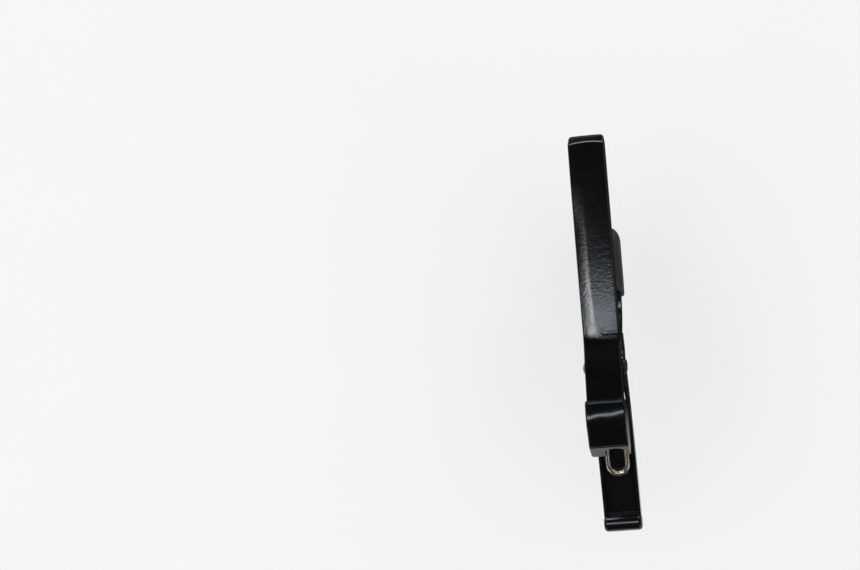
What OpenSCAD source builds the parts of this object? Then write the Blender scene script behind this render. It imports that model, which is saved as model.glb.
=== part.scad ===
// Spring-loaded trigger capo for a guitar neck.
// Frame: X runs across the neck towards the handles, Y along the neck, Z away from the fretboard.
// The origin is on the string pad's pressing face, over the middle of the neck.
// Side outlines are drawn in X and Z.

/* [Top bar] */
// Width of the bar and the handle
bar_w = 11.6; // [11:0.1:11.8]
// Distance from the origin to the free end of the bar
tip_reach = 38; // [34:0.5:40]
// Thickness of the bar at the highest point of its arch
bar_t = 5.5; // [5:0.1:6]
// Radius of the arch along the bar's top face
arch_r = 600; // [450:10:900]
// Distance from the origin to the bend between bar and handle
bend_x = 25; // [24.5:0.1:25.5]
// Upward slope of the handle
handle_slope = 13; // [12:0.5:14]
// Thickness of the handle arm
handle_t = 4.6; // [4.2:0.1:4.8]
// Length of the bare handle arm, up to its rubber grip
handle_bare = 22; // [21:0.5:23]

/* [String pad] */
// Exposed thickness of the rubber strip
pad_t = 3; // [2.8:0.1:3.2]
// Width of the rubber strip
pad_w = 10; // [9:0.5:11]
// Length of the rubber strip
pad_len = 56; // [50:1:57]

/* [Pivot] */
// Distance from the origin to the pivot, across the neck
pivot_x = 36; // [35.5:0.1:36.3]
// Radius of the rivet's shank
rivet_r = 1.5; // [1.4:0.05:1.6]
// Radius of the lever's ears
ear_r = 5.2; // [5:0.1:5.3]

/* [Spring] */
// Diameter of the spring wire
wire_d = 1.6; // [1.4:0.1:1.6]
// Mean radius of the coils
coil_r = 4.1; // [4:0.05:4.2]
// Distance from the pivot to the end of the loop, across the neck
loop_reach = 34.6; // [32:0.2:36]

/* [Lever and claw] */
// Width of the lever across its two ears
lever_w = 12; // [11.8:0.1:12.2]
// Radius of the lever's gentle upward sweep
lever_sweep_r = 170; // [150:5:190]
// Thickness of the lever's floor
floor_t = 1.2; // [1:0.1:1.4]
// Height of the lever's side walls, floor included
wall_h = 3.6; // [3:0.1:3.8]
// Distance from the pressing face to the back of a neck at the rest position
neck_gap = 23; // [22:0.5:24]
// Width of the claw under the neck
claw_w = 8.6; // [8:0.1:9]

/* [Hidden] */
$fn = 64;

paint = [0.06, 0.06, 0.065];
rubber = [0.12, 0.12, 0.12];
steel = [0.75, 0.73, 0.7];
nylon = [0.85, 0.84, 0.8];

lever_half = lever_w / 2;
running_gap = 0.05;       // radial play of the rivet in the lugs, and side play of the lugs
pivot = [pivot_x, 0];
bar_top = pad_t + bar_t;
arch_mid_x = -3;
tip_lean = 2.4;           // length of the slanted face at the bar's free end
tip_slant = 37;
tip_corner_z = pad_t + 0.4;

ear_t = 0.9;              // thickness of the ears and of the lever's side walls
ear_in = lever_half - ear_t;  // inner face of the ears
lug_out = ear_in - running_gap;
lug_t = 0.75;
lug_in = lug_out - lug_t;
lug_r = 5;

groove_w = 7;
groove_depth = 1;
groove_len = pad_len - 6;
rib_play = 0.05;

grip_over = 0.45;         // how far the grip stands proud of the bar's sides
tang_t = 3;
tang_w = 8.4;

loop_half_w = 3.2;        // half the distance between the loop's legs
leg_gap_half = wire_d / 2 + 0.02;
wire_play = 0.05;

claw_t = 5;               // thickness of the claw at its root
claw_tip_t = 4;
boot_t = 3.5;             // rubber between the claw and the neck
claw_c = [5, -5.5];       // centre of the claw's bend
claw_reach = 11;          // straight length past the bend
claw_axis_r = neck_gap + boot_t + claw_tip_t / 2 + claw_c.y;

// ---------- 2D helpers, in X and Z ----------
function dir(a) = [cos(a), sin(a)];
function square_to(a) = [-sin(a), cos(a)];
function arc(c, r, from, to, steps = 24) =
    [for (i = [0:steps]) c + r * dir(from + (to - from) * i / steps)];
// Point where a line from p touches a circle; side picks one of the two
function touch_point(c, r, p, side) =
    let (v = p - c) c + r * dir(atan2(v.y, v.x) + side * acos(r / norm(v)));

// A plate from y0 to y1 with the outline given by a 2D child in X and Z
module plate(y0, y1) {
    translate([0, y1, 0]) rotate([90, 0, 0]) linear_extrude(y1 - y0) children();
}
module slab(width) {
    plate(-width / 2, width / 2) children();
}
module cross_cylinder(r, y0, y1, at = pivot) {
    translate([at.x, y1, at.y]) rotate([90, 0, 0]) cylinder(r = r, h = y1 - y0);
}
module both_sides() {
    children();
    mirror([0, 1, 0]) children();
}

// ---------- upper jaw ----------
function arch_z(x) = bar_top - pow(x - arch_mid_x, 2) / (2 * arch_r);
handle_foot = [bend_x, arch_z(bend_x)];
handle_u = dir(handle_slope);
handle_n = square_to(handle_slope);
function on_handle(along, below = 0) = handle_foot + along * handle_u - below * handle_n;
tip_top_x = -tip_reach + tip_lean;
under_corner = on_handle((pad_t - handle_foot.y + handle_t * handle_n.y) / handle_u.y, handle_t);

module upper_outline() {
    arch_steps = 20;
    nose = 0.5;           // where the slanted face turns down to the end
    nose_z = arch_z(tip_top_x) - (tip_lean - nose) * tan(tip_slant);
    polygon(concat(
        [[-tip_reach + 0.5, pad_t], [-tip_reach, tip_corner_z]],
        [[-tip_reach, nose_z - 1.2], [-tip_reach + nose, nose_z]],
        [for (i = [0:arch_steps])
            let (x = tip_top_x + (bend_x - tip_top_x) * i / arch_steps) [x, arch_z(x)]],
        [on_handle(handle_bare), on_handle(handle_bare, handle_t), under_corner]
    ));
}
// The arm carries on inside the grip as a tang that bends down towards the handle's end
handle_end = on_handle(handle_bare);
tang_tip_top = handle_end + [12.2, -1.9];
tang_tip_under = tang_tip_top - [0, tang_t];
tang_root_under = on_handle(handle_bare - 1, handle_t - 0.7);
module tang_outline() {
    polygon([
        on_handle(handle_bare - 1, handle_t - 0.7 - tang_t),
        tang_root_under, tang_tip_under, tang_tip_top
    ]);
}
module lug_outline() {
    left_foot = under_corner + [1.4, 0.9];
    right_foot = on_handle(19, handle_t - 0.5);
    left_touch = touch_point(pivot, lug_r, left_foot, 1);
    right_touch = touch_point(pivot, lug_r, right_foot, -1);
    from = atan2(left_touch.y - pivot.y, left_touch.x - pivot.x);
    to = atan2(right_touch.y - pivot.y, right_touch.x - pivot.x);
    polygon(concat([left_foot], arc(pivot, lug_r, from, to, 32), [right_foot]));
}
module upper_jaw() {
    color(paint) difference() {
        union() {
            slab(bar_w) upper_outline();
            slab(tang_w) tang_outline();
            both_sides() plate(lug_in, lug_out) lug_outline();
        }
        translate([-groove_len / 2 + pad_mid_x, -groove_w / 2, pad_t - 1])
            cube([groove_len, groove_w, groove_depth + 1]);
        cross_cylinder(rivet_r + running_gap, -lever_half, lever_half);
    }
}

// ---------- string pad ----------
pad_mid_x = -5;
module string_pad() {
    end_bevel = 1;
    color(rubber) union() {
        slab(pad_w) polygon([
            [pad_mid_x - pad_len / 2 + end_bevel, 0],
            [pad_mid_x - pad_len / 2, end_bevel],
            [pad_mid_x - pad_len / 2, pad_t],
            [pad_mid_x + pad_len / 2, pad_t],
            [pad_mid_x + pad_len / 2, end_bevel],
            [pad_mid_x + pad_len / 2 - end_bevel, 0]
        ]);
        translate([
            pad_mid_x - groove_len / 2 + rib_play,
            -groove_w / 2 + rib_play,
            pad_t - 0.5
        ])
            cube([groove_len - 2 * rib_play, groove_w - 2 * rib_play, groove_depth + 0.5 - rib_play]);
    }
}

// ---------- rubber grip on the upper handle ----------
crest_r = 6;
crest_c = handle_end + [4.2, -3.6];
function grip_rim() = handle_end + [14.9, -0.9];   // where the top meets the slanted end
module grip_outline() {
    polygon(concat(
        [on_handle(handle_bare, handle_t + 0.9), on_handle(handle_bare, -0.5)],
        arc(crest_c, crest_r, 132, 72, 12),
        arc(grip_rim() + [-0.6, -0.8], 1, 70, 24, 5),
        arc(grip_rim() + [0.6, -6.2], 2.2, 10, -80, 10),
        arc(crest_c + [-0.6, -0.2], 6, -60, -104, 6)
    ));
}
// Slot under the tang for the spring's free ends
module grip_slot_outline() {
    polygon([
        tang_root_under + [-1, 0.1], tang_root_under + [-1, -9],
        tang_tip_under + [-0.4, -9], tang_tip_under + [-0.4, 0.1]
    ]);
}
// Hollow in the grip's slanted end, open to the underside
module grip_pocket_outline() {
    polygon([
        grip_rim() + [-0.5, 4], grip_rim() + [-2.2, -4.2], grip_rim() + [-2.2, -12],
        grip_rim() + [8, -12], grip_rim() + [8, 4]
    ]);
}
module handle_grip() {
    slot_w = 2 * (leg_gap_half + wire_d / 2) + 0.8;
    pocket_from = -2.8;
    pocket_to = 4.4;
    color(rubber) difference() {
        slab(bar_w + 2 * grip_over) grip_outline();
        slab(tang_w) tang_outline();
        slab(slot_w) grip_slot_outline();
        plate(pocket_from, pocket_to) grip_pocket_outline();
    }
}

// ---------- lower jaw: lever, ears and claw in one piece ----------
lever_start = [45, -9.6];
lever_start_slope = -20;
sweep_c = lever_start + lever_sweep_r * square_to(lever_start_slope);
function sweep_angle(x) = -90 - asin((sweep_c.x - x) / lever_sweep_r);
function sweep_arc(rise, x0, x1) = arc(sweep_c, lever_sweep_r - rise, sweep_angle(x0), sweep_angle(x1), 20);
floor_from_x = 47.5;
floor_to_x = 85.5;
lip_inner_r = 1.6;
lip_top = 84;             // angle up to which the lip curls, measured at its bend

lip_slope = sweep_angle(floor_to_x) + 90;
lip_c = sweep_c + (lever_sweep_r - floor_t - lip_inner_r) * dir(sweep_angle(floor_to_x));
module lip_outline() {
    polygon(concat(
        arc(lip_c, lip_inner_r + floor_t, -90 + lip_slope, lip_top - 90 + lip_slope, 10),
        [lip_c + (lip_inner_r + floor_t) * dir(lip_top - 90) + [0.1, 1]],
        [lip_c + lip_inner_r * dir(lip_top - 90) + [0.1, 1]],
        arc(lip_c, lip_inner_r, lip_top - 90 + lip_slope, -90 + lip_slope, 10)
    ));
}
module floor_outline() {
    polygon(concat(
        sweep_arc(0, floor_from_x, floor_to_x),
        sweep_arc(floor_t, floor_to_x, floor_from_x)
    ));
}
module wall_outline() {
    top_from_x = 53;
    top = sweep_arc(wall_h, floor_to_x, top_from_x);
    upper_touch = touch_point(pivot, ear_r, top[len(top) - 1], 1);
    root_inner = claw_c + (claw_axis_r - claw_t / 2) * dir(4);
    root_outer = claw_c + (claw_axis_r + claw_t / 2) * dir(-1);
    heel = pivot + 6.1 * dir(160);
    polygon(concat(
        sweep_arc(0, lever_start.x, floor_to_x),
        top,
        arc(pivot, ear_r,
            atan2(upper_touch.y - pivot.y, upper_touch.x - pivot.x), 140, 16),
        [heel, [27.4, heel.y - 1.6], root_inner, root_outer],
        [touch_point(pivot, ear_r, lever_start, -1) + [-0.6, -0.4]]
    ));
}
claw_root_angle = 6;
function claw_ring(side, steps) = [for (i = [0:steps])
    let (a = claw_root_angle - (claw_root_angle + 90) * i / steps)
    let (t = claw_t + (claw_tip_t - claw_t) * i / steps)
    claw_c + (claw_axis_r + side * t / 2) * dir(a)];
module claw_outline() {
    steps = 28;
    inner = claw_ring(-1, steps);
    outer = claw_ring(1, steps);
    end_c = [claw_c.x - claw_reach + claw_tip_t / 2, claw_c.y - claw_axis_r];
    polygon(concat(
        inner,
        arc(end_c, claw_tip_t / 2, 90, 270, 16),
        [for (i = [steps:-1:0]) outer[i]]
    ));
}
// Narrows from the full width at the ears to the claw's own width
module claw_width_limit() {
    full_z = -1.5;
    narrow_z = -9;
    translate([-20, 0, 0]) rotate([90, 0, 90]) linear_extrude(60) polygon([
        [-lever_half, 5], [-lever_half, full_z], [-claw_w / 2, narrow_z], [-claw_w / 2, -40],
        [claw_w / 2, -40], [claw_w / 2, narrow_z], [lever_half, full_z], [lever_half, 5]
    ]);
}
module lower_jaw() {
    color(paint) difference() {
        union() {
            slab(lever_w) floor_outline();
            slab(lever_w) lip_outline();
            both_sides() plate(ear_in, lever_half) wall_outline();
            intersection() {
                slab(lever_w) claw_outline();
                claw_width_limit();
            }
        }
        cross_cylinder(rivet_r, -lever_half - 1, lever_half + 1);
    }
}

// ---------- rubber boot on the claw ----------
boot_w = claw_w + 2;
boot_under = 2;
module boot_outline() {
    top_r = claw_axis_r - claw_tip_t / 2 - boot_t;
    low_r = claw_axis_r + claw_tip_t / 2 + boot_under;
    end_r = (low_r - top_r) / 2;
    end_c = [claw_c.x - claw_reach + 1, claw_c.y - (low_r + top_r) / 2];
    polygon(concat(
        arc(claw_c, top_r, -72, -90, 8),
        arc(end_c, end_r, 90, 270, 24),
        arc(claw_c, low_r, -90, -72, 8)
    ));
}
module neck_boot() {
    color(rubber) difference() {
        slab(boot_w) boot_outline();
        intersection() {
            slab(lever_w) claw_outline();
            claw_width_limit();
        }
    }
}

// ---------- vinyl cap on the lever's end ----------
module lever_cap() {
    cap_w = lever_w + 0.4;
    cap_r = 3.1;
    cap_c = lip_c + [0.3, -0.1];
    color(rubber) difference() {
        slab(cap_w) polygon(concat(
            arc(cap_c, cap_r + 0.3, -112, 20, 16),
            arc(cap_c + [1.3, 1.1], 2, 20, 150, 10)
        ));
        slab(lever_w) floor_outline();
        slab(lever_w) lip_outline();
        both_sides() plate(ear_in, lever_half) wall_outline();
    }
}

// ---------- pivot ----------
head_r = 2.7;
head_h = 1.3;
washer_t = 0.35;
tail_h = 0.45;
module pivot_rivet() {
    dome_r = (pow(head_r, 2) + pow(head_h, 2)) / (2 * head_h);
    color(steel) union() {
        cross_cylinder(rivet_r, -lever_half - 0.2, lever_half + washer_t + 0.2);
        translate([pivot.x, -lever_half, pivot.y]) rotate([90, 0, 0]) intersection() {
            translate([0, 0, head_h - dome_r]) sphere(r = dome_r);
            cylinder(r = head_r, h = head_h + 1);
        }
        translate([pivot.x, lever_half + washer_t, pivot.y]) rotate([-90, 0, 0])
            cylinder(r1 = 2.1, r2 = 1.5, h = tail_h);
    }
}
module rivet_washer() {
    color(steel) difference() {
        cross_cylinder(2.6, lever_half, lever_half + washer_t);
        cross_cylinder(rivet_r, lever_half - 1, lever_half + 1);
    }
}
module spring_bush() {
    color(nylon) difference() {
        cross_cylinder(coil_r - wire_d / 2 - 0.2, -lug_in + running_gap, lug_in - running_gap);
        cross_cylinder(rivet_r + running_gap, -lever_half, lever_half);
    }
}

// ---------- double torsion spring ----------
function unit(v) = v / norm(v);
loop_x = pivot_x + loop_reach;
loop_r = lever_sweep_r - floor_t - wire_d / 2 - wire_play;
loop_z = sweep_c.y - sqrt(pow(loop_r, 2) - pow(sweep_c.x - loop_x, 2));
free_end = tang_tip_under + [-1.6, 0.25 - wire_d / 2 - wire_play];
loop_touch = touch_point(pivot, coil_r, [loop_x, loop_z], -1);
free_touch = touch_point(pivot, coil_r, free_end, 1);
loop_dir = unit([loop_x, loop_z] - loop_touch);
start_angle = atan2(free_touch.y, free_touch.x - pivot.x);
end_angle = atan2(loop_touch.y, loop_touch.x - pivot.x) + 720;

// Half of the wire's centreline, from the free end round the coil to the loop's leg
function half_route() = let (turn_steps = 44)
    concat(
        [for (i = [0:5]) let (p = free_end + (free_touch - free_end) * i / 6) [p.x, leg_gap_half, p.y]],
        [for (i = [0:turn_steps])
            let (a = start_angle + (end_angle - start_angle) * i / turn_steps)
            let (p = pivot + coil_r * dir(a))
            [p.x, leg_gap_half + (loop_half_w - leg_gap_half) * i / turn_steps, p.y]],
        [for (i = [1:6])
            let (p = loop_touch + (norm([loop_x, loop_z] - loop_touch) - loop_half_w) * loop_dir * i / 6)
            [p.x, loop_half_w, p.y]]
    );
function bend_route() = let (bend_c = [loop_x, loop_z] - loop_half_w * loop_dir)
    [for (i = [1:11])
        let (a = 90 - 180 * i / 12)
        let (p = bend_c + loop_half_w * cos(a) * loop_dir)
        [p.x, loop_half_w * sin(a), p.y]];
function mirrored(route) = [for (i = [len(route) - 1:-1:0]) [route[i].x, -route[i].y, route[i].z]];

// Sweeps a circle along a route, carrying its frame on from ring to ring
module wire(route, r, sides = 10) {
    last = len(route) - 1;
    tangents = [for (i = [0:last]) unit(route[min(i + 1, last)] - route[max(i - 1, 0)])];
    normals = [for (
        i = 0, n = [0, 1, 0];
        i <= last;
        i = i + 1, n = i <= last ? unit(n - (n * tangents[i]) * tangents[i]) : n
    ) n];
    points = [for (i = [0:last]) for (k = [0:sides - 1])
        let (a = 360 * k / sides)
        route[i] + r * (cos(a) * normals[i] + sin(a) * cross(tangents[i], normals[i]))];
    walls = [for (i = [0:last - 1]) for (k = [0:sides - 1])
        let (a = i * sides, b = (i + 1) * sides, n = (k + 1) % sides)
        [a + k, a + n, b + n, b + k]];
    near_end = [for (k = [sides - 1:-1:0]) k];
    far_end = [for (k = [0:sides - 1]) last * sides + k];
    polyhedron(points, concat([near_end], walls, [far_end]), convexity = 10);
}
module torsion_spring() {
    color(steel) wire(concat(half_route(), bend_route(), mirrored(half_route())), wire_d / 2);
}

upper_jaw();
string_pad();
handle_grip();
lower_jaw();
neck_boot();
lever_cap();
pivot_rivet();
rivet_washer();
spring_bush();
torsion_spring();
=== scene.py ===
"""Looks for the spring-loaded trigger capo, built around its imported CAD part.

Shapes are in millimetres. The lamps, the camera and the floor are in metres.
"""

import math

import bmesh
import bpy
from mathutils import Matrix, Vector


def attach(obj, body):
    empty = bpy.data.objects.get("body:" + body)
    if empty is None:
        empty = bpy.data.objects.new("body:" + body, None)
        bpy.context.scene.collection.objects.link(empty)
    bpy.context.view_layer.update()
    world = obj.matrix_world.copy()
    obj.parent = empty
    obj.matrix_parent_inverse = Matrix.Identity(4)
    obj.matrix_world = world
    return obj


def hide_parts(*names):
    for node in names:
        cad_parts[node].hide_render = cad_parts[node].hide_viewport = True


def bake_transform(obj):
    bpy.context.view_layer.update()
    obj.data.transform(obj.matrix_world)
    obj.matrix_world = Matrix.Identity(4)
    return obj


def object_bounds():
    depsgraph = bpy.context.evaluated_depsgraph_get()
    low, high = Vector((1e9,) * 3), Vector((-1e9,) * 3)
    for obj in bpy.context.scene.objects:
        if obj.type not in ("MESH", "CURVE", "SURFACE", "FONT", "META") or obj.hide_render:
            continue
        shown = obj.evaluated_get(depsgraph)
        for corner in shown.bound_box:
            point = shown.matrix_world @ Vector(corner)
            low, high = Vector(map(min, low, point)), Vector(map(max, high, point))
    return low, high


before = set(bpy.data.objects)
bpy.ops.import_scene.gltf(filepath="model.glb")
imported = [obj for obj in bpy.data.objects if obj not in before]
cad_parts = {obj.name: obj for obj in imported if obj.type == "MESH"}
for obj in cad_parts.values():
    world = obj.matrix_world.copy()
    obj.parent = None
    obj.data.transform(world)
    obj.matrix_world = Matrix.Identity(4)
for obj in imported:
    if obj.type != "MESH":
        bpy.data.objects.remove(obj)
cad_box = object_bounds()

MM = 0.001
PIVOT = Vector((36, 0, 0))
PAINT = "black_paint"
RUBBER = "black_rubber"
GRIP = "grip_rubber"
RIVET = "rivet_steel"
SPRING = "spring_steel"


# ---------- shapes ----------


def polar(angle, radius=1.0, centre=(0, 0)):
    a = math.radians(angle)
    return Vector((centre[0] + radius * math.cos(a), centre[1] + radius * math.sin(a)))


def arc(centre, radius, start, end, steps):
    return [
        polar(start + (end - start) * i / steps, radius, centre)
        for i in range(steps + 1)
    ]


def resample(points, count):
    """The polyline's points, spread evenly along it."""
    lengths = [0.0]
    for a, b in zip(points, points[1:]):
        lengths.append(lengths[-1] + (b - a).length)
    out = []
    for i in range(count):
        want = lengths[-1] * i / (count - 1)
        k = max(j for j in range(len(points) - 1) if lengths[j] <= want + 1e-9)
        span = lengths[k + 1] - lengths[k]
        out.append(points[k].lerp(points[k + 1], (want - lengths[k]) / span))
    return out


def smoothstep(x):
    x = min(max(x, 0.0), 1.0)
    return x * x * (3 - 2 * x)


def finish_mesh(name, bm, sharp=40, normals=True):
    """Turns a bmesh in millimetres into an object in metres. Edges over sharp degrees stay sharp."""
    bmesh.ops.recalc_face_normals(bm, faces=bm.faces)
    mesh = bpy.data.meshes.new(name)
    bm.to_mesh(mesh)
    bm.free()
    mesh.transform(Matrix.Scale(MM, 4))
    mesh.shade_smooth()
    mesh.set_sharp_from_angle(angle=math.radians(sharp))
    piece = bpy.data.objects.new(name, mesh)
    bpy.context.scene.collection.objects.link(piece)
    if normals:
        piece.modifiers.new("normals", "WEIGHTED_NORMAL").keep_sharp = True
    return piece


def add_bevel(piece, width, angle):
    """Rounds the edges that turn by more than angle degrees."""
    mod = piece.modifiers.new("edges", "BEVEL")
    mod.width = width * MM
    mod.segments = 3
    mod.limit_method = "ANGLE"
    mod.angle_limit = math.radians(angle)
    mod.harden_normals = False
    mod.use_clamp_overlap = True


def add_rings(bm, rings):
    """Skins a list of rings of 3D points into the bmesh, with a cap at each end."""
    loops = [[bm.verts.new(p) for p in ring] for ring in rings]
    for a, b in zip(loops, loops[1:]):
        for k in range(len(a)):
            n = (k + 1) % len(a)
            bm.faces.new((a[k], a[n], b[n], b[k]))
    bm.faces.new(loops[0][::-1])
    bm.faces.new(loops[-1])


def box_ring(
    top, under, half_w, r_top, r_under, crown=0.0, ridge=(-2.0, 0.0), inset=0.0, corner=5, dip=None
):
    """One cross section of a bar: a rounded rectangle between two points of its side outline.

    crown is how far the top's middle stands above its edges. ridge is (y, slope): left of y the
    top falls away more. dip(y) lowers the top further. corner is the steps in each round.
    """
    top, under = Vector(top), Vector(under)
    tall = (top - under).length
    axis = (top - under) / tall
    w = half_w - inset
    low, high = inset, tall - inset
    ridge_y, ridge_slope = ridge
    fall = crown + (dip(0) if dip else 0)
    r_top = min(r_top, w * 0.9, (high - fall - low) * 0.48)
    r_under = min(r_under, w * 0.9, (high - fall - low) * 0.48)
    flat = w - r_top

    def top_at(y):
        h = high - crown * (y / flat) ** 2
        if y < ridge_y:
            h -= ridge_slope * (ridge_y - y)
        return max(h - (dip(y) if dip else 0), low + r_top + r_under)

    section = [(-(w - r_under) + 2 * (w - r_under) * k / 4, low) for k in range(5)]

    def turn(y, h, r, start, steps):
        for k in steps:
            a = math.radians(start + 90 * k / corner)
            section.append((y + r * math.cos(a), h + r * math.sin(a)))

    turn(w - r_under, low + r_under, r_under, -90, range(1, corner + 1))
    turn(flat, top_at(flat) - r_top, r_top, 0, range(corner + 1))
    across = [flat + (0.5 - flat) * k / 9 for k in range(1, 10)] + [0.38, 0.3, 0.22, 0.1]
    across += [0.1 + (ridge_y - 0.1) * k / 4 for k in range(1, 5)]
    across += [ridge_y + (-flat - ridge_y) * k / 7 for k in range(1, 8)]
    section += [(y, top_at(y)) for y in across]
    turn(-flat, top_at(-flat) - r_top, r_top, 90, range(1, corner + 1))
    turn(-(w - r_under), low + r_under, r_under, 180, range(corner))
    return [Vector((under.x + axis.x * h, y, under.y + axis.y * h)) for y, h in section]


def rounded(station, radius, steps=5, at_start=True):
    """Rings that round off a loft's end. station(shift, inset) gives each ring, moved inwards."""
    rings = []
    for k in range(steps + 1):
        a = math.radians(90 * k / steps)
        rings.append(station(radius * (1 - math.cos(a)), radius * (1 - math.sin(a))))
    return rings if at_start else rings[::-1]


def add_plate(bm, outline, y0, y1, edge=0.0):
    """A flat plate with a side outline in X and Z, its rims rounded by edge."""
    centre = sum(outline, Vector((0, 0))) / len(outline)

    def shrunk(d):
        out = []
        n = len(outline)
        for i, p in enumerate(outline):
            t = (outline[(i + 1) % n] - outline[i - 1]).normalized()
            inward = Vector((-t.y, t.x))
            if inward.dot(centre - p) < 0:
                inward = -inward
            out.append(p + inward * d)
        return out

    layers = [(y0, 0), (y1, 0)]
    if edge:
        part = edge * 0.3
        layers = [(y0, edge), (y0 + part, part), (y0 + edge, 0)]
        layers += [(y1 - edge, 0), (y1 - part, part), (y1, edge)]
    add_rings(bm, [[Vector((p.x, y, p.y)) for p in shrunk(d)] for y, d in layers])


def lathe(name, profile, steps=64):
    """Turns (distance along Y, radius) points about the pivot's axis."""

    def ring(y, r):
        r = max(r, 0.001)
        turns = [math.tau * k / steps for k in range(steps)]
        return [Vector((PIVOT.x + r * math.cos(a), y, PIVOT.z + r * math.sin(a))) for a in turns]

    bm = bmesh.new()
    add_rings(bm, [ring(y, r) for y, r in profile])
    return finish_mesh(name, bm, sharp=35)


def add_tube(bm, path, radius, sides=20, cap_start=True, cap_end=True):
    """Sweeps a circle along a path. Its UV map runs along the wire in metres, and once round it."""
    layer = bm.loops.layers.uv.get("wire") or bm.loops.layers.uv.new("wire")
    last = len(path) - 1
    tangents = [(path[min(i + 1, last)] - path[max(i - 1, 0)]).normalized() for i in range(last + 1)]
    normal = Vector((0, 1, 0))
    if abs(normal.dot(tangents[0])) > 0.95:
        normal = Vector((0, 0, 1))
    stations, travelled = [], 0.0
    for i, p in enumerate(path):
        normal = (normal - normal.dot(tangents[i]) * tangents[i]).normalized()
        if i:
            travelled += (p - path[i - 1]).length
        stations.append((p, tangents[i], normal.copy(), travelled, radius))

    def end_cap(station, sign):
        p, t, n, d, r = station
        soft = r * 0.28
        out = []
        for k in range(1, 5):
            a = math.pi / 2 * k / 4
            ahead = sign * soft * math.sin(a)
            out.append((p + t * ahead, t, n, d + ahead, r - soft * (1 - math.cos(a))))
        return out

    if cap_start:
        stations = end_cap(stations[0], -1)[::-1] + stations
    if cap_end:
        stations = stations + end_cap(stations[-1], 1)
    loops = []
    for p, t, n, d, r in stations:
        b = t.cross(n)
        turns = [math.tau * k / sides for k in range(sides)]
        loops.append([bm.verts.new(p + r * (math.cos(a) * n + math.sin(a) * b)) for a in turns])
    for i in range(len(loops) - 1):
        for k in range(sides):
            m = (k + 1) % sides
            face = bm.faces.new((loops[i][k], loops[i][m], loops[i + 1][m], loops[i + 1][k]))
            ends = ((i, k), (i, k + 1), (i + 1, k + 1), (i + 1, k))
            for corner, (row, turn) in zip(face.loops, ends):
                corner[layer].uv = (stations[row][3] * MM, turn / sides)
    if cap_start:
        bm.faces.new(loops[0][::-1])
    if cap_end:
        bm.faces.new(loops[-1])


def cut(piece, cutter):
    """Takes the cutter's solid out of the piece's mesh and drops the cutter."""
    mod = piece.modifiers.new("cut", "BOOLEAN")
    mod.operation = "DIFFERENCE"
    mod.solver = "EXACT"
    mod.object = cutter
    piece.modifiers.move(len(piece.modifiers) - 1, 0)
    shown = {m.name: m.show_viewport for m in piece.modifiers}
    for m in piece.modifiers:
        m.show_viewport = m.name == mod.name
    bpy.context.view_layer.update()
    mesh = bpy.data.meshes.new_from_object(piece.evaluated_get(bpy.context.evaluated_depsgraph_get()))
    piece.modifiers.remove(mod)
    for m in piece.modifiers:
        m.show_viewport = shown[m.name]
    piece.data = mesh
    bpy.data.objects.remove(cutter)


# ---------- materials ----------


class Look:
    """A small helper around one Principled material."""

    def __init__(self, name, wire=False):
        self.material = bpy.data.materials.new(name)
        self.material.use_nodes = True
        self.tree = self.material.node_tree
        self.shader = self.tree.nodes["Principled BSDF"]
        coords = self.tree.nodes.new("ShaderNodeTexCoord")
        self.where = coords.outputs["UV" if wire else "Object"]

    def node(self, kind, inputs=None, **settings):
        n = self.tree.nodes.new(kind)
        for key, value in settings.items():
            setattr(n, key, value)
        for key, value in (inputs or {}).items():
            self.put(n.inputs[key], value)
        return n

    def put(self, socket, value):
        if isinstance(value, bpy.types.NodeSocket):
            self.tree.links.new(value, socket)
        else:
            socket.default_value = value

    def set(self, **values):
        for key, value in values.items():
            self.put(self.shader.inputs[key.replace("_", " ")], value)

    def noise(self, size, detail=3.0, rough=0.5, stretch=(1, 1, 1), seed=0.0):
        """Noise whose features are about size millimetres across, stretched along the axes."""
        place = self.node("ShaderNodeMapping", {"Vector": self.where})
        place.inputs["Scale"].default_value = [1 / s for s in stretch]
        place.inputs["Location"].default_value = (seed, seed * 0.7, seed * 1.3)
        return self.node(
            "ShaderNodeTexNoise",
            {"Vector": place.outputs[0], "Scale": 1 / (size * MM), "Detail": detail, "Roughness": rough},
        ).outputs["Fac"]

    def ramp(self, value, low, high, to_low=0.0, to_high=1.0):
        return self.node(
            "ShaderNodeMapRange",
            {"Value": value, "From Min": low, "From Max": high, "To Min": to_low, "To Max": to_high},
            clamp=True,
        ).outputs[0]

    def math(self, op, a, b=0.0):
        return self.node("ShaderNodeMath", {0: a, 1: b}, operation=op).outputs[0]

    def mix(self, fac, a, b):
        n = self.node("ShaderNodeMix", data_type="RGBA")
        self.put(n.inputs["Factor"], fac)
        for key, value in (("A", a), ("B", b)):
            socket = [s for s in n.inputs if s.name == key and s.type == "RGBA"][0]
            self.put(socket, (*value, 1) if isinstance(value, tuple) else value)
        return [s for s in n.outputs if s.type == "RGBA"][0]

    def bump(self, height, depth, strength=1.0, after=None):
        """Bump of about depth millimetres."""
        n = self.node("ShaderNodeBump", {"Height": height, "Distance": depth * MM, "Strength": strength})
        if after is not None:
            self.put(n.inputs["Normal"], after)
        return n.outputs[0]

    def edges(self, low=0.52, high=0.6):
        """How strongly a spot lies on an outer edge."""
        return self.ramp(self.node("ShaderNodeNewGeometry").outputs["Pointiness"], low, high)


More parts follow.
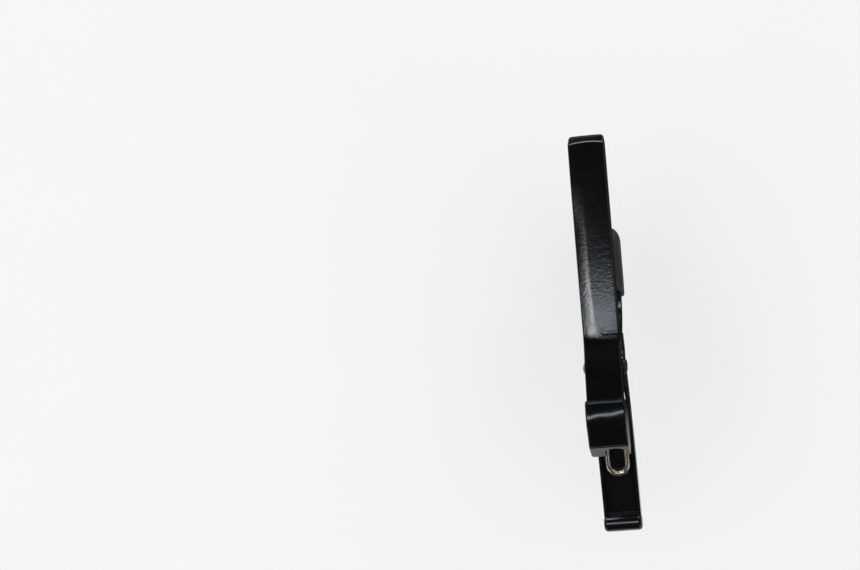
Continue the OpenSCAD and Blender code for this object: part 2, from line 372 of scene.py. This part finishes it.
def paint_look(name, low, high, spread, wear):
    """Gloss paint with orange peel. Its roughness runs from low to high, and on by spread."""
    k = Look(name)
    patches = k.noise(7, 4, 0.6)
    speckle = k.noise(0.3, 2, 0.5, seed=0.3)
    peel = k.noise(0.9, 3, 0.55, stretch=(1, 1.3, 1), seed=0.1)
    scuffs = k.ramp(k.noise(1.2, 5, 0.62, stretch=(1, 9, 9), seed=0.2), 0.66, 0.74)
    base = k.mix(patches, (0.0022, 0.0024, 0.0027), (0.0036, 0.0039, 0.0043))
    base = k.mix(k.math("MULTIPLY", k.edges(), wear), base, (0.04, 0.041, 0.043))
    base = k.mix(k.math("MULTIPLY", scuffs, 0.08), base, (0.05, 0.05, 0.048))
    rough = k.math("ADD", k.ramp(patches, 0.3, 0.7, low, high), k.math("MULTIPLY", speckle, spread))
    normal = k.bump(peel, 0.045, 0.8)
    normal = k.bump(speckle, 0.005, 0.6, normal)
    k.set(Base_Color=base, Roughness=rough, Normal=normal)
    return k.material


def grip_look():
    k = Look("grip moulding")
    patches = k.noise(5, 4, 0.55, seed=0.4)
    grain = k.noise(0.22, 2, 0.5, seed=0.6)
    waves = k.noise(3.2, 2, 0.4, seed=0.9)
    scratch = k.ramp(k.noise(0.5, 4, 0.6, stretch=(1, 14, 3), seed=0.5), 0.66, 0.74)
    base = k.mix(patches, (0.0028, 0.0029, 0.003), (0.0045, 0.0046, 0.0048))
    base = k.mix(k.math("MULTIPLY", scratch, 0.1), base, (0.04, 0.04, 0.04))
    base = k.mix(k.math("MULTIPLY", k.edges(), 0.15), base, (0.03, 0.031, 0.032))
    rough = k.math("ADD", k.ramp(patches, 0.3, 0.7, 0.1, 0.15), k.math("MULTIPLY", grain, 0.05))
    normal = k.bump(waves, 0.07, 0.5)
    normal = k.bump(grain, 0.006, 0.5, normal)
    k.set(Base_Color=base, Roughness=rough, Normal=normal)
    return k.material


def rubber_look():
    k = Look("black rubber")
    patches = k.noise(4, 4, 0.6, seed=0.2)
    grain = k.noise(0.16, 3, 0.6, seed=0.8)
    dust = k.ramp(k.noise(0.5, 4, 0.7, seed=0.35), 0.62, 0.75)
    base = k.mix(patches, (0.014, 0.014, 0.014), (0.026, 0.0255, 0.025))
    base = k.mix(k.math("MULTIPLY", dust, 0.18), base, (0.12, 0.115, 0.105))
    rough = k.ramp(patches, 0.3, 0.7, 0.58, 0.74)
    k.set(Base_Color=base, Roughness=rough, Normal=k.bump(grain, 0.02, 0.8))
    k.shader.inputs["Sheen Weight"].default_value = 0.08
    return k.material


def metal_look(name, light, dark, rough, wire=False):
    """Stained metal with fine lines: turning marks, or drawing marks that run along a wire."""
    k = Look(name, wire)
    if wire:
        metallic, line_rough, line_depth, pitted = 0.92, 0.04, 0.0004, 0.1
        # along the wire X is metres and Y is one turn
        place = k.node("ShaderNodeMapping", {"Vector": k.where})
        place.inputs["Scale"].default_value = (90, 10, 1)
        marks = {"Vector": place.outputs[0], "Scale": 1.0, "Detail": 4.0}
        lines = k.node("ShaderNodeTexNoise", marks).outputs["Fac"]
        k.where = k.node("ShaderNodeTexCoord").outputs["Object"]
    else:
        metallic, line_rough, line_depth, pitted = 1.0, 0.16, 0.006, 0.35
        lines = k.noise(0.12, 3, 0.6, stretch=(1, 1, 8), seed=0.7)
    stain = k.noise(2.6, 4, 0.65, seed=0.15)
    pits = k.ramp(k.noise(0.3, 3, 0.6, seed=0.55), 0.64, 0.72)
    base = k.mix(k.ramp(stain, 0.35, 0.68), light, dark)
    base = k.mix(k.math("MULTIPLY", pits, pitted), base, (0.12, 0.09, 0.06))
    finish = k.ramp(stain, 0.3, 0.7, rough - 0.03, rough + 0.03)
    finish = k.math("ADD", k.math("MULTIPLY", lines, line_rough), finish)
    k.set(Base_Color=base, Metallic=metallic, Roughness=finish, Normal=k.bump(lines, line_depth, 0.6))
    return k.material


def nylon_look():
    k = Look("moulded nylon")
    patches = k.noise(1.5, 3, 0.5)
    base = k.mix(patches, (0.03, 0.03, 0.03), (0.05, 0.05, 0.048))
    rough = k.ramp(patches, 0.3, 0.7, 0.4, 0.55)
    k.set(Base_Color=base, Roughness=rough, Normal=k.bump(k.noise(0.1), 0.01, 0.6))
    return k.material


paint = paint_look("black paint", 0.11, 0.15, 0.06, 0.3)
lever_paint = paint_look("black paint, polished by the hand", 0.08, 0.11, 0.03, 0.09)
grip_material = grip_look()
rubber = rubber_look()
rivet_steel = metal_look("blackened rivet steel", (0.11, 0.107, 0.104), (0.05, 0.049, 0.047), 0.3)
spring_steel = metal_look("nickel spring wire", (0.9, 0.8, 0.68), (0.66, 0.52, 0.38), 0.13, wire=True)
nylon = nylon_look()


def dress(piece, material, slot, body, *replaced):
    """Gives a piece its material, the body it rides and the CAD nodes it stands for. The slot argument
    is not used.
    """
    piece.data.materials.clear()
    piece.data.materials.append(material)
    if body:
        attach(piece, body)
    if replaced:
        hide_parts(*replaced)


# ---------- upper jaw ----------

BAR_HALF = 5.8
LUG_IN, LUG_OUT = 4.3, 5.05
BAR_TOP = 8.5
PAD_T = 3.0
BEND_X = 25.0
HANDLE_SLOPE = 13.0
HANDLE_T = 4.6


def arch(x):
    """Height of the bar's gently curved top."""
    return BAR_TOP - (x + 3) ** 2 / 1200


foot = Vector((BEND_X, arch(BEND_X)))
along = polar(HANDLE_SLOPE)
across = Vector((-along.y, along.x))


def on_handle(distance, below=0.0):
    """A point so far along the handle's top from the bend, and so far below it."""
    return foot + along * distance - across * below


handle_end = on_handle(22)


def soft_min(a, b, k):
    """The lesser of a and b, blended where they are closer than k."""
    h = max(k - abs(a - b), 0) / k
    return min(a, b) - h * h * k / 4


TIP = -38.0
TIP_CREASE = TIP + 2.4
TIP_SLANT = math.tan(math.radians(39))
TIP_BOW = 0.45
NOSE = 0.5
NOSE_SLOPE = 2.4
BEND_SOFT = 0.9
BEND_EASE = 0.0075
CREASE_X = 25.4
CREASE_DEPTH = 0.014
MARK_Y = 0.3
MARK_DEPTH = 0.035
STEP_DEPTH = 0.03


def bar_line(x):
    """Height of the bar's top along its middle, with the slope of the handle past the bend."""
    rise = math.tan(math.radians(HANDLE_SLOPE))
    if x < BEND_X - BEND_SOFT:
        return arch(x)
    if x > BEND_X + BEND_SOFT:
        return foot.y + (x - BEND_X) * rise
    t = (x - BEND_X + BEND_SOFT) / (2 * BEND_SOFT)
    start, end = arch(BEND_X - BEND_SOFT), foot.y + BEND_SOFT * rise
    return start * (1 - t) ** 2 + 2 * t * (1 - t) * foot.y + end * t * t


def tip_dip(x, y):
    """Depth of the free end's slanted face and nose under the bar's top."""
    crest = arch(TIP_CREASE)
    slant = crest + (x - TIP_BOW * (y / BAR_HALF) ** 2 - TIP_CREASE) * TIP_SLANT
    nose_x = TIP + NOSE
    nose = crest + (nose_x - TIP_CREASE) * TIP_SLANT + (x - nose_x) * NOSE_SLOPE
    return arch(x) - soft_min(soft_min(arch(x), slant, 0.4), nose, 0.35)


def bend_dip(x, y):
    """Depth of the bend's eased fillet, and of the crease, mark and step beside it."""
    k = 0.3 + 0.35 * smoothstep((1.5 - y) / 6.5)
    start, end = BEND_X + 2.3, BEND_X + 10
    rise = (bar_line(end) - arch(start)) / (end - start)
    level = BEND_X - 3.9 + 2.3 * math.exp(-(((y + 0.6) / 2.6) ** 2)) + 0.9 * smoothstep(y / 3)
    eased = arch(x) + BEND_EASE * max(0.0, x - level) ** 2
    filled = -soft_min(-eased, -(arch(start) + (x - start) * rise), k)
    if x > BEND_X + 5:
        filled = soft_min(filled, bar_line(x), 0.1)
    dip = bar_line(x) - filled
    right = smoothstep((y - 0.25) / 0.2) * (1 - smoothstep((y - 4.6) / 0.4))
    dip += CREASE_DEPTH * math.exp(-(((x - CREASE_X) / 0.17) ** 2)) * right
    behind = smoothstep((x - 21.6) / 1.2) * (1 - smoothstep((x - CREASE_X + 0.1) / 0.2))
    dip += MARK_DEPTH * math.exp(-(((y - MARK_Y) / 0.09) ** 2)) * behind
    dip += STEP_DEPTH * right * smoothstep((x - 23.2) / 1.2) * (1 - smoothstep((x - CREASE_X) / 0.6))
    return dip


def bar_dip(x, y):
    """How far the real top lies under bar_line."""
    dip = 0.0
    if x < TIP_CREASE + 2:
        dip += tip_dip(x, y)
    if BEND_X - 6 < x < BEND_X + 12:
        dip += bend_dip(x, y)
    return dip


def upper_ring(x):
    """Cross section of the bar and handle at a distance across the neck."""
    turn = smoothstep((x - BEND_X + 2) / 4)
    tilt = math.radians(HANDLE_SLOPE) * turn
    top = Vector((x, bar_line(x)))
    thick = (top.y - PAD_T) * (1 - turn) + HANDLE_T * turn
    thick -= max(0.0, (TIP + NOSE - x) * 0.8)
    under = top - Vector((-math.sin(tilt), math.cos(tilt))) * thick
    fade = smoothstep((x + 24) / 18) * (1 - smoothstep((x - 25) / 9))
    ridge_y = -2.1 + 0.5 * smoothstep((x - 5) / 15) + 1.2 * smoothstep((x - 20) / 7)
    crown = 0.34 * (1 - smoothstep((x - 26.5) / 4) * 0.55)
    # the free end's corners are round in plan, and it narrows a little
    r = 0.9
    into = min(max((x - TIP) / r, 0.0), 1.0)
    plan = r * (1 - math.sqrt(1 - (1 - into) ** 2)) + 0.3 * (1 - smoothstep((x - TIP) / 3.2))
    half, ridge = BAR_HALF - plan, (ridge_y, 0.08 * fade)
    return box_ring(top, under, half, 0.5, 0.35, crown, ridge, dip=lambda y: bar_dip(x, y))


def upper_jaw_piece():
    bm = bmesh.new()
    # stations lie closest at the free end and at the bend
    xs = [TIP, TIP + 0.03, TIP + 0.08, TIP + 0.15, TIP + 0.23, TIP + 0.32]
    xs += [TIP + 0.4 + 0.1 * i for i in range(38)]
    xs += [-33.6 + 54.6 * i / 60 for i in range(60)]
    xs += [21.0 + 0.15 * i for i in range(48)]
    xs += [28.2 + 18.0 * i / 30 for i in range(31)]
    add_rings(bm, [upper_ring(x) for x in xs])
    # lugs, one each side of the coils
    lug_r = 5.0
    corner = foot + Vector((0.9, -4.85))
    left_foot = corner + Vector((1.4, 0.9))
    right_foot = on_handle(19, HANDLE_T - 0.5)
    centre = Vector((PIVOT.x, 0))

    def touch(p, side):
        v = p - centre
        return math.degrees(math.atan2(v.y, v.x) + side * math.acos(lug_r / v.length))

    start, end = touch(left_foot, 1) - 360, touch(right_foot, -1)
    outline = [left_foot] + arc(centre, lug_r, start, end, 32) + [right_foot]
    for y0, y1 in ((-LUG_OUT, -LUG_IN), (LUG_IN, LUG_OUT)):
        add_plate(bm, outline, y0, y1, 0.12)
    # tang inside the grip
    tang = (on_handle(20.6, 0.9), handle_end + Vector((12, -1.9)))
    add_rings(bm, [box_ring(p, p - Vector((0, 2.8)), 4.1, 0.3, 0.3) for p in tang])
    return finish_mesh("upper_jaw_casting", bm, sharp=50)


dress(upper_jaw_piece(), paint, PAINT, "upper", "upper_jaw")


# ---------- string pad ----------


def string_pad_piece():
    bm = bmesh.new()
    start, end = -33.0, 23.0
    strings = [-17.5 + 7 * i for i in range(6)]
    half = 5.0

    def ring(x, inset=0.0):
        press = sum(0.16 * math.exp(-(((x - s) / 0.55) ** 2)) for s in strings)
        lift = 0.75 * (1 - smoothstep(min(x - start, end - x) / 1.1))
        return box_ring((x, PAD_T), (x, press + lift), half, 0.1, 0.7, inset=inset)

    rings = rounded(lambda shift, inset: ring(start + shift, inset * 0.6), 0.5)
    count = 160
    rings += [ring(start + 0.5 + (end - start - 1) * i / count) for i in range(1, count)]
    rings += rounded(lambda shift, inset: ring(end - shift, inset * 0.6), 0.5, at_start=False)
    add_rings(bm, rings)
    return finish_mesh("string_pad_rubber", bm, sharp=60)


dress(string_pad_piece(), rubber, RUBBER, "upper", "string_pad")


# ---------- grip on the upper handle ----------


def grip_piece():
    """Moulded grip: a loft along its side outline, less the end's hollow and the spring's slot."""
    crest = handle_end + Vector((4.2, -3.6))
    rim = handle_end + Vector((14.9, -0.9))
    top_line = arc(crest - Vector((0, 6)), 12, 107.5, 71, 16) + [rim + Vector((-0.9, 0.14))]
    under_line = [on_handle(22, HANDLE_T + 0.9)] + [
        handle_end + Vector(p)
        for p in (
            (1.9, -8.0),
            (3.5, -9.25),
            (5.6, -9.1),
            (9, -8.6),
            (13, -8.6),
            (15.6, -8.35),
            (17.3, -7.2),
        )
    ]
    count = 44
    tops = [handle_end + Vector((-0.35, -0.35))] + resample(top_line, count - 1)
    unders = resample(under_line, count)
    for _ in range(5):
        inner = [(a + 2 * b + c) / 4 for a, b, c in zip(unders, unders[1:], unders[2:])]
        unders = [unders[0]] + inner + [unders[-1]]
    half = 6.25

    def top_z(x):
        k = max((j for j in range(count - 1) if tops[j].x <= x), default=0)
        a, b = tops[k], tops[k + 1]
        return a.y + (b.y - a.y) * min(max((x - a.x) / (b.x - a.x), 0.0), 1.0)

    def ring(i, inset=0.0, shift=0.0):
        """The crest leans and waves a little across the grip, so each ring dips to match."""
        t, u = tops[i], unders[i]
        lean = (t - u).normalized()
        forward = Vector((lean.y, -lean.x))
        wavy = smoothstep((t.x - tops[0].x - 1) / 1.5) * (1 - smoothstep((t.x - tops[0].x - 7) / 3))

        def dip(y):
            return top_z(t.x) - top_z(t.x + wavy * (0.085 * y - 0.16 * math.sin(0.85 * y + 0.4)))

        t_at, u_at = t + forward * shift, u + forward * shift
        return box_ring(t_at, u_at, half, 0.55, 0.8, 0.1, inset=inset, corner=6, dip=dip)

    steps = 6
    rings = [ring(i) for i in range(count - 1)]
    end_r = 0.55
    for k in range(steps, -1, -1):
        a = math.radians(90 * k / steps)
        rings.append(ring(count - 1, end_r * (1 - math.sin(a)), end_r * math.cos(a)))
    bm = bmesh.new()
    add_rings(bm, rings)
    piece = finish_mesh("handle_grip_moulding", bm, sharp=42)
    # arched hollow in the slanted end
    bm = bmesh.new()
    face_top, face_under = tops[-1], unders[-1]
    down = (face_under - face_top).normalized()
    out = Vector((-down.y, down.x))
    mid_y, wide, begin = 1.65, 3.2, 1.5
    rise = 2.6
    turns = [math.radians(a) for a in range(0, 181, 12)]
    section = [(mid_y + wide * math.cos(a), begin + rise - rise * math.sin(a)) for a in turns]
    section += [(mid_y - wide, 14), (mid_y + wide, 14)]
    rings = []
    for reach, shrink in ((3, 1.0), (0.2, 1.0), (-3.2, 0.9)):
        ring_points = []
        for y, d in section:
            p = face_top + down * d + out * reach
            ring_points.append(Vector((p.x, mid_y + (y - mid_y) * shrink, p.y)))
        rings.append(ring_points)
    add_rings(bm, rings)
    cut(piece, finish_mesh("grip hollow", bm, normals=False))
    # slot for the spring's free ends
    bm = bmesh.new()
    slot = [Vector((44.0, 8.9)), Vector((44.0, 4.6)), Vector((58, 5.6)), Vector((58, 8.2))]
    add_plate(bm, slot, -2.0, 2.0)
    cut(piece, finish_mesh("grip slot", bm, normals=False))
    add_bevel(piece, 0.14, angle=46)
    piece.modifiers.move(len(piece.modifiers) - 1, 0)
    return piece


dress(grip_piece(), grip_material, GRIP, "upper", "handle_grip")


# ---------- lower jaw ----------

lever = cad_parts["lower_jaw"]
lever.data.materials.clear()
lever.data.materials.append(lever_paint)
weld = lever.modifiers.new("weld", "WELD")
weld.merge_threshold = 0.00001
add_bevel(lever, 0.25, angle=35)
lever.modifiers.new("normals", "WEIGHTED_NORMAL").keep_sharp = True

LEVER_R = 170
LEVER_T = 1.2
SWEEP_C = Vector((45, -9.6)) + polar(70, LEVER_R)
CLAW_C = Vector((5, -5.5))
CLAW_R = 23.0


def boot_piece():
    """Rubber boot pushed over the claw, open where the claw enters."""
    bm = bmesh.new()
    top_r, low_r, half = CLAW_R - 5.5, CLAW_R + 4, 5.3
    straight = 10.0
    mouth = -72.0
    bulge = (low_r - top_r) / 2

    def station(s):
        """A distance from the boot's closed end, run along the claw's middle line."""
        if s < straight:
            x = CLAW_C.x - straight + s
            return Vector((x, CLAW_C.y - top_r)), Vector((x, CLAW_C.y - low_r))
        a = -90 + math.degrees((s - straight) / CLAW_R)
        return polar(a, top_r, CLAW_C), polar(a, low_r, CLAW_C)

    total = straight + math.radians(mouth + 90) * CLAW_R
    rings = []
    for k in range(11):
        a = math.radians(90 * k / 10)
        top, under = station(0)
        shift = -bulge * math.cos(a)
        mid = (top + under) / 2
        tall = max(math.sin(a), 0.03)
        top, under = mid + (top - mid) * tall, mid + (under - mid) * tall
        wide = half - 2.6 * (1 - math.sqrt(max(0.0, 1 - math.cos(a) ** 2 * 0.96)))
        move = Vector((shift, 0))
        rings.append(box_ring(top + move, under + move, wide, 2.0, 2.0, corner=6))
    for k in range(1, 23):
        s = total * k / 23
        top, under = station(s)
        rings.append(box_ring(top, under, half, 2.0, 2.0, corner=6))
    top, under = station(total)
    tangent = Vector((-math.sin(math.radians(mouth)), math.cos(math.radians(mouth))))
    lip = 0.7
    turns = [math.radians(90 * k / 4) for k in range(5)]
    mouth_rings = [(lip * (math.sin(a) - 1), lip * (1 - math.cos(a))) for a in turns]
    for reach, inset in mouth_rings + [(0, 1.1), (-0.5, 1.35), (-2.6, 1.4)]:
        move = tangent * reach
        rings.append(box_ring(top + move, under + move, half, 2.0, 2.0, inset=inset, corner=6))
    add_rings(bm, rings)
    return finish_mesh("neck_boot_rubber", bm, sharp=60)


dress(boot_piece(), rubber, RUBBER, "lower", "neck_boot")


def cap_piece():
    """Soft roll over the lever's curled end."""
    half = 6.2
    bm = bmesh.new()
    centre = Vector((86.75, -16.35))

    def profile(inset):
        out = []
        for k in range(40):
            a = math.tau * k / 40
            c, s = math.cos(a), math.sin(a)
            rx, rz = 2.65 - inset, 3.0 - inset
            p = 2.5  # a little squarer than an ellipse
            scale = (abs(c) ** p + abs(s) ** p) ** (-1 / p)
            out.append(centre + Vector((rx * c * scale, rz * s * scale)))
        return out

    r = 1.25
    rings = []
    for sign in (-1, 1):
        part = []
        for k in range(8):
            a = math.radians(90 * k / 7)
            y = sign * (half - r * (1 - math.cos(a)))
            part.append((y, r * (1 - math.sin(a))))
        rings += part if sign < 0 else part[::-1]
    add_rings(bm, [[Vector((p.x, y, p.y)) for p in profile(inset)] for y, inset in rings])
    return finish_mesh("lever_end_roll", bm, sharp=60)


dress(cap_piece(), grip_material, GRIP, "lower", "lever_cap")


# ---------- pivot ----------

EAR = 6.0
WASHER_T = 0.35


def rivet_piece():
    """Domed head, shank, and a peened tail with a dimple."""
    head_r, head_h, shank = 2.7, 1.3, 1.5
    dome_r = (head_r**2 + head_h**2) / (2 * head_h)
    turns = [0.04 + i * 0.115 for i in range(12)]
    profile = [(-EAR - head_h + dome_r * (1 - math.cos(a)), dome_r * math.sin(a)) for a in turns]
    profile = [(y, r) for y, r in profile if y < -EAR - 0.12]
    rim = ((0.1, 0.02), (0.03, 0.06), (0, 0.14))
    profile += [(-EAR - out, head_r - less) for out, less in rim] + [(-EAR, shank)]
    tail = (0, shank), (0, 2.0), (0.06, 2.1), (0.2, 2.02), (0.34, 1.8), (0.43, 1.45)
    tail += (0.45, 1.1), (0.38, 0.8), (0.34, 0.4), (0.33, 0.0)
    profile += [(EAR + WASHER_T + out, r) for out, r in tail]
    return lathe("pivot_rivet_turned", profile)


def washer_piece():
    profile = ((0, 1.52), (0, 2.52), (0.05, 2.59), (0.28, 2.59), (WASHER_T, 2.5), (WASHER_T, 1.52))
    return lathe("rivet_washer_ring", [(EAR + out, r) for out, r in profile])


dress(rivet_piece(), rivet_steel, RIVET, "lower", "pivot_rivet")
dress(washer_piece(), rivet_steel, RIVET, "lower", "rivet_washer")
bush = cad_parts["spring_bush"]
bush.data.materials.clear()
bush.data.materials.append(nylon)


# ---------- spring ----------

WIRE_R = 0.9
COIL_R = 4.2
LEG_Y = 0.92
LOOP_Y = 3.2
WIRE_PLAY = 0.05
pivot_2d = Vector((PIVOT.x, 0))
loop_x = 70.6
loop_r = LEVER_R - LEVER_T - WIRE_R - WIRE_PLAY
loop_z = SWEEP_C.y - math.sqrt(loop_r**2 - (SWEEP_C.x - loop_x) ** 2)
loop_end = Vector((loop_x, loop_z))
free_end = handle_end + Vector((10.6, -5.5))


def tangent_angle(p, side):
    """Where on the coil a straight leg from p touches it."""
    v = p - pivot_2d
    return math.degrees(math.atan2(v.y, v.x) + side * math.acos(COIL_R / v.length))


start_angle, end_angle = tangent_angle(free_end, 1), tangent_angle(loop_end, -1) + 720
if end_angle - start_angle > 720:
    end_angle -= 360
free_touch = polar(start_angle, COIL_R, pivot_2d)
loop_touch = polar(end_angle, COIL_R, pivot_2d)
loop_dir = (loop_end - loop_touch).normalized()


def at(p, y):
    return Vector((p.x, y, p.y))


bm = bmesh.new()
for side in (-1, 1):
    leg = [at(free_end.lerp(free_touch, i / 10), side * LEG_Y) for i in range(11)]
    add_tube(bm, leg, WIRE_R, cap_end=False)
legs = finish_mesh("spring_free_legs", bm, normals=False)
dress(legs, spring_steel, SPRING, "upper", "torsion_spring")

for side, word in ((-1, "left"), (1, "right")):
    bm = bmesh.new()
    turns = 96
    coil = []
    for i in range(turns + 1):
        t = i / turns
        p = polar(start_angle + (end_angle - start_angle) * t, COIL_R, pivot_2d)
        coil.append(at(p, side * (LEG_Y + (LOOP_Y - LEG_Y) * t)))
    add_tube(bm, coil, WIRE_R, cap_start=False, cap_end=False)
    piece = finish_mesh(f"spring_coil_{word}", bm, normals=False)
    dress(piece, spring_steel, SPRING, None, "torsion_spring")
    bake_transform(piece)

bm = bmesh.new()
reach = (loop_end - loop_touch).length - LOOP_Y
loop_path = [at(loop_touch + loop_dir * reach * i / 12, LOOP_Y) for i in range(13)]
bend_centre = loop_touch + loop_dir * reach
for i in range(1, 24):
    a = math.radians(90 - 180 * i / 24)
    loop_path.append(at(bend_centre + loop_dir * LOOP_Y * math.cos(a), LOOP_Y * math.sin(a)))
loop_path += [at(bend_centre - loop_dir * reach * i / 12, -LOOP_Y) for i in range(13)]
add_tube(bm, loop_path, WIRE_R, cap_start=False, cap_end=False)
dress(finish_mesh("spring_loop", bm, normals=False), spring_steel, SPRING, "lower", "torsion_spring")


# ---------- stage, camera and light ----------


def area(name, place, target, size_x, size_y, power, colour):
    """A rectangular lamp turned to its target. The camera doesn't see it."""
    light = bpy.data.lights.new(name, "AREA")
    light.shape = "RECTANGLE"
    light.size, light.size_y = size_x, size_y
    light.energy = power
    light.color = colour
    lamp = bpy.data.objects.new(name, light)
    bpy.context.scene.collection.objects.link(lamp)
    lamp.location = place
    lamp.rotation_euler = (Vector(target) - Vector(place)).to_track_quat("-Z", "Y").to_euler()
    lamp.visible_camera = False
    return lamp


def card(name, x0, x1, y0, y1, z, glow, colour):
    """A level panel of the given brightness that looks straight down."""
    size_x, size_y = x1 - x0, y1 - y0
    place = ((x0 + x1) / 2, (y0 + y1) / 2, z)
    power = glow * math.pi * size_x * size_y
    lamp = area(name, place, (place[0], place[1], 0), size_x, size_y, power, colour)
    lamp.rotation_euler = (0, 0, 0)
    return lamp


def floor_look():
    """Pale floor that glows a little, which keeps its shadows soft.

    Where the paint mirrors it, the patch near the object is painted dark: a painted shade, as if in the
    object's shade.
    """
    k = Look("pale floor")
    glow, fade = 0.3, 0.03
    tone = k.mix(k.noise(60, 3, 0.5), (0.6, 0.6, 0.6), (0.612, 0.612, 0.612))
    split = k.node("ShaderNodeSeparateXYZ", {0: k.where})

    def near(axis, middle, half):
        distance = k.math("ABSOLUTE", k.math("ADD", split.outputs[axis], -middle))
        return k.ramp(distance, half, half + fade, 1.0, 0.0)

    # painted shade: near the object the floor turns dark, for mirrored rays only
    patch = k.math("MULTIPLY", near(0, -0.07, 0.09), near(1, 0.11, 0.13))
    shade = k.math("MULTIPLY", patch, k.node("ShaderNodeLightPath").outputs["Is Glossy Ray"])
    colour = k.mix(shade, tone, (0.02, 0.02, 0.02))
    k.set(Base_Color=colour, Roughness=0.85, Normal=k.bump(k.noise(3), 0.02, 0.2))
    lit = k.math("MULTIPLY", k.math("SUBTRACT", 1.0, shade), glow)
    k.set(Emission_Color=(1.0, 1.0, 1.0, 1.0), Emission_Strength=lit)
    k.shader.inputs["Specular IOR Level"].default_value = 0.0
    return k.material


def stage_and_light():
    floor_drop = 0.018  # a little more than the claw swings down when the jaws open
    place = (0.03, 0, cad_box[0][2] - floor_drop)
    bpy.ops.mesh.primitive_grid_add(x_subdivisions=8, y_subdivisions=8, size=6, location=place)
    floor = bpy.context.active_object
    floor.name = "floor"
    floor.data.materials.append(floor_look())

    scene = bpy.context.scene
    world = bpy.data.worlds.new("studio")
    scene.world = world
    world.use_nodes = True
    backdrop = world.node_tree.nodes["Background"]
    backdrop.inputs["Color"].default_value = (1.0, 1.0, 1.0, 1)
    backdrop.inputs["Strength"].default_value = 0.92
    world.cycles_visibility.glossy = False

    # these three are seen in the gloss only, so that the floor keeps no hard shade
    blue = (0.8, 0.91, 1.0)
    card("soft box", 0.035, 0.15, -0.5, 0.19, 0.95, 6.2, blue)
    card("window", -0.03, 0.14, -0.36, -0.275, 0.85, 11.0, (1.0, 0.97, 0.93))
    area("end card", (-1.15, -0.06, 0.62), (-0.036, 0, 0), 1.0, 0.45, 10.0, blue)
    for lamp in [o for o in scene.objects if o.type == "LIGHT"]:
        lamp.visible_diffuse = False
    for x, y in ((-1.1, -1.2), (-1.1, 1.2), (1.3, -1.2), (1.3, 1.2)):
        area("side light", (x, y, 0.7), (0, 0, 0), 0.9, 0.9, 2.4, (1.0, 1.0, 1.0))
    scene.view_settings.view_transform = "Standard"


def add_camera():
    """The photograph's camera, fitted to the object's outline."""
    lean, tilt, roll = -0.045, -0.1729, 0.0783
    base = Matrix(((0, 1, 0), (-1, 0, 0), (0, 0, 1)))
    turn = Matrix.Rotation(roll, 3, "Z") @ Matrix.Rotation(lean, 3, "X")
    turn = turn @ Matrix.Rotation(tilt, 3, "Y") @ base
    offset = Vector((0.053316, 0.0096237, -0.7))
    cam = bpy.data.cameras.new("camera")
    cam.sensor_width = 36
    cam.lens = 91.66
    cam.clip_start = 0.01
    shot = bpy.data.objects.new("camera", cam)
    bpy.context.scene.collection.objects.link(shot)
    back = turn.transposed()
    shot.matrix_world = Matrix.Translation(-(back @ offset)) @ back.to_4x4()
    bpy.context.scene.camera = shot


stage_and_light()
add_camera()

bpy.context.view_layer.update()
